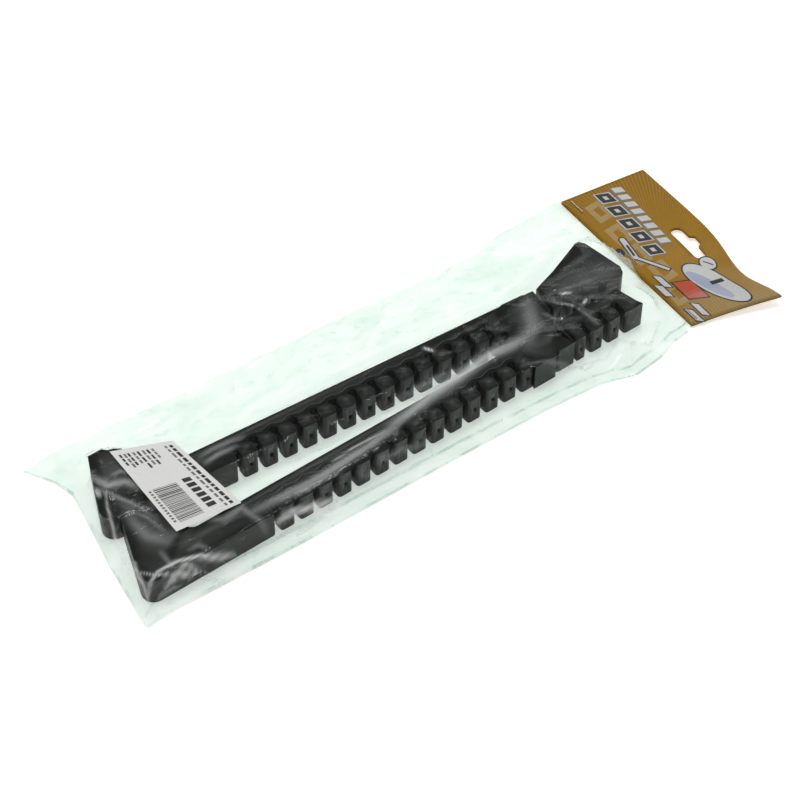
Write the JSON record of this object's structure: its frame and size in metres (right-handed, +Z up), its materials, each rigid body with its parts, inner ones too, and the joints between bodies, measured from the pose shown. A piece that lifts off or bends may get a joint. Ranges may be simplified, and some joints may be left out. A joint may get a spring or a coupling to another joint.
{
  "type": "ice skate blade cover pair in a retail bag",
  "caption": "Pair of adjustable plastic ice skate blade covers with block treads, lying in a clear bag with a stapled folded header card.",
  "frame": {"origin": "middle of the pack's outline, on the surface it lies on", "axes": "+X along the pack from the covers' toe end to the header card, +Y across the pack from the covers' treads to their blade slots, +Z up"},
  "size_m": [0.4468, 0.139, 0.0206],
  "materials": {
    "cover_plastic": "moulded, satin black",
    "clear_film": "clear, glossy",
    "printed_card": "coated print, semi-gloss",
    "staple_wire": "zinc-plated wire",
    "label_paper": "white, matt"
  },
  "bodies": {
    "pack": {"toe_part_1": "cover_plastic", "size_clip_1": "cover_plastic", "toe_part_2": "cover_plastic", "size_clip_2": "cover_plastic", "bag_lower_film": "clear_film", "bag_upper_film": "clear_film", "label": "label_paper"},
    "heel_1": {"heel_part_1": "cover_plastic"},
    "heel_2": {"heel_part_2": "cover_plastic"},
    "header": {"header_card": "printed_card", "bag_mouth": "clear_film", "staple_1": "staple_wire", "staple_2": "staple_wire", "staple_3": "staple_wire"}
  },
  "joints": [
    {"name": "heel_1_adjust", "type": "slide", "parent": "pack", "child": "heel_1", "axis": [0.9991, -0.0419, 0], "range_m": [0, 0.0066]},
    {"name": "heel_2_adjust", "type": "slide", "parent": "pack", "child": "heel_2", "axis": [0.9995, 0.0305, 0], "range_m": [0, 0.0066]},
    {"name": "header_fold", "type": "hinge", "parent": "pack", "child": "header", "pos_m": [0.16255, 0, 0.00187], "axis": [0, -1, 0], "range_deg": [0, 60]}
  ]
}
